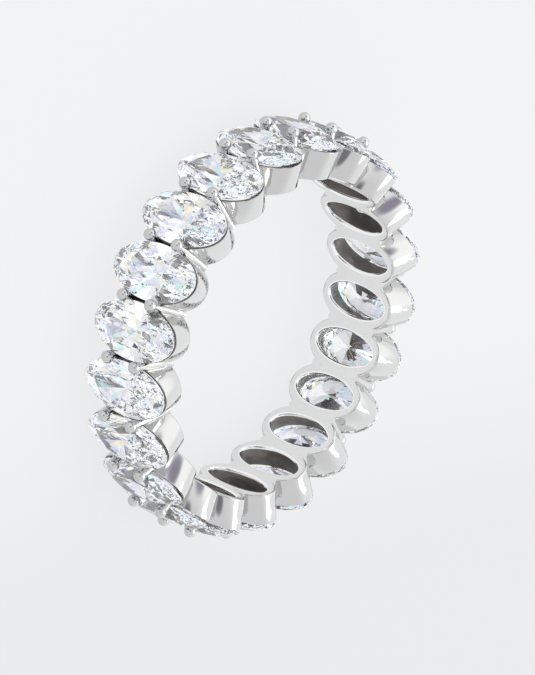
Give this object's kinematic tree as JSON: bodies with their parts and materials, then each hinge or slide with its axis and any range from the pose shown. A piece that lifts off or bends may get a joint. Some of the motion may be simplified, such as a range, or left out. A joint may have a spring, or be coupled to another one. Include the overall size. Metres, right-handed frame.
{
  "type": "eternity ring",
  "caption": "Full eternity ring: oval brilliant stones side by side all round, each in an open cup, held by shared round prongs.",
  "frame": {"origin": "on the ring's axis, in the plane that the ring lies on", "axes": "+Z along the ring's axis, upwards as the ring lies on its side; +X through the middle of the first stone"},
  "size_m": [0.0221, 0.0222, 0.005],
  "materials": {
    "white_metal": "high polish, rhodium plated",
    "clear_stone": "polished facets"
  },
  "bodies": {
    "root": {"setting": "white_metal", "stone_01": "clear_stone", "stone_02": "clear_stone", "stone_03": "clear_stone", "stone_04": "clear_stone", "stone_05": "clear_stone", "stone_06": "clear_stone", "stone_07": "clear_stone", "stone_08": "clear_stone", "stone_09": "clear_stone", "stone_10": "clear_stone", "stone_11": "clear_stone", "stone_12": "clear_stone", "stone_13": "clear_stone", "stone_14": "clear_stone", "stone_15": "clear_stone", "stone_16": "clear_stone", "stone_17": "clear_stone", "stone_18": "clear_stone", "stone_19": "clear_stone", "stone_20": "clear_stone", "stone_21": "clear_stone"}
  },
  "joints": []
}
